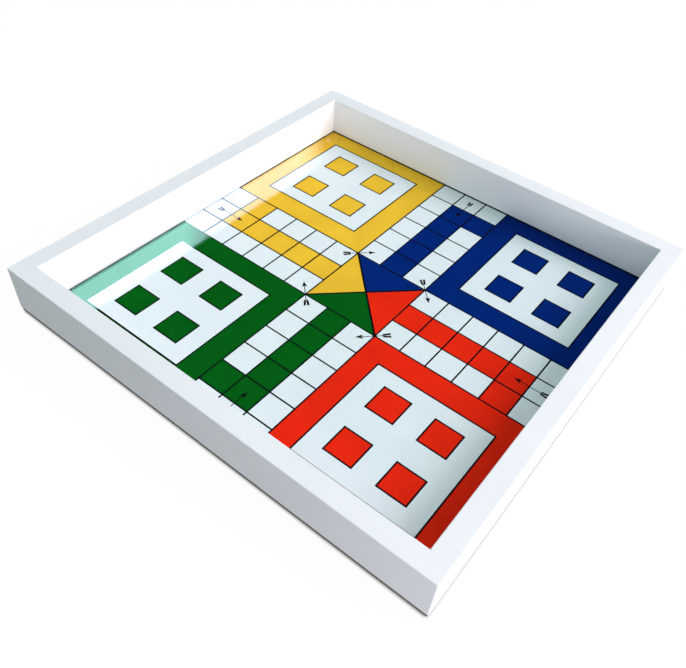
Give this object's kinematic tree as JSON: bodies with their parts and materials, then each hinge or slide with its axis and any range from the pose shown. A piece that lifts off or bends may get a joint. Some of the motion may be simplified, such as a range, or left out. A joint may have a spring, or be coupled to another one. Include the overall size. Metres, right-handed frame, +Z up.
{
  "type": "framed ludo board",
  "caption": "Square deep-rimmed white tray with a traditional ludo layout printed under a clear sheet at its foot, for playing with tokens and a die inside the rim.",
  "frame": {"origin": "on the table under the middle of the board, at the foot of the pads", "axes": "+Z up out of the playing well, +X to the right, -Y towards the front rail"},
  "size_m": [0.324, 0.324, 0.0372],
  "materials": {
    "white_lacquer": "white satin lacquer",
    "clear_acrylic": "clear, polished",
    "printed_card": "smooth print on card",
    "fibreboard": "tempered hardboard, raw, dark grey-brown",
    "zinc_steel": "zinc plated",
    "black_rubber": "matt"
  },
  "bodies": {
    "root": {"base_board": "fibreboard", "base_screw_back_1": "zinc_steel", "base_screw_back_2": "zinc_steel", "base_screw_back_3": "zinc_steel", "base_screw_front_1": "zinc_steel", "base_screw_front_2": "zinc_steel", "base_screw_front_3": "zinc_steel", "base_screw_left_1": "zinc_steel", "base_screw_left_2": "zinc_steel", "base_screw_left_3": "zinc_steel", "base_screw_right_1": "zinc_steel", "base_screw_right_2": "zinc_steel", "base_screw_right_3": "zinc_steel", "clear_sheet": "clear_acrylic", "foot_pad_back_left": "black_rubber", "foot_pad_back_right": "black_rubber", "foot_pad_front_left": "black_rubber", "foot_pad_front_right": "black_rubber", "playing_card": "printed_card", "rail_back": "white_lacquer", "rail_front": "white_lacquer", "rail_left": "white_lacquer", "rail_right": "white_lacquer", "v_nail_back_left_lower": "zinc_steel", "v_nail_back_left_upper": "zinc_steel", "v_nail_back_right_lower": "zinc_steel", "v_nail_back_right_upper": "zinc_steel", "v_nail_front_left_lower": "zinc_steel", "v_nail_front_left_upper": "zinc_steel", "v_nail_front_right_lower": "zinc_steel", "v_nail_front_right_upper": "zinc_steel"}
  },
  "joints": []
}
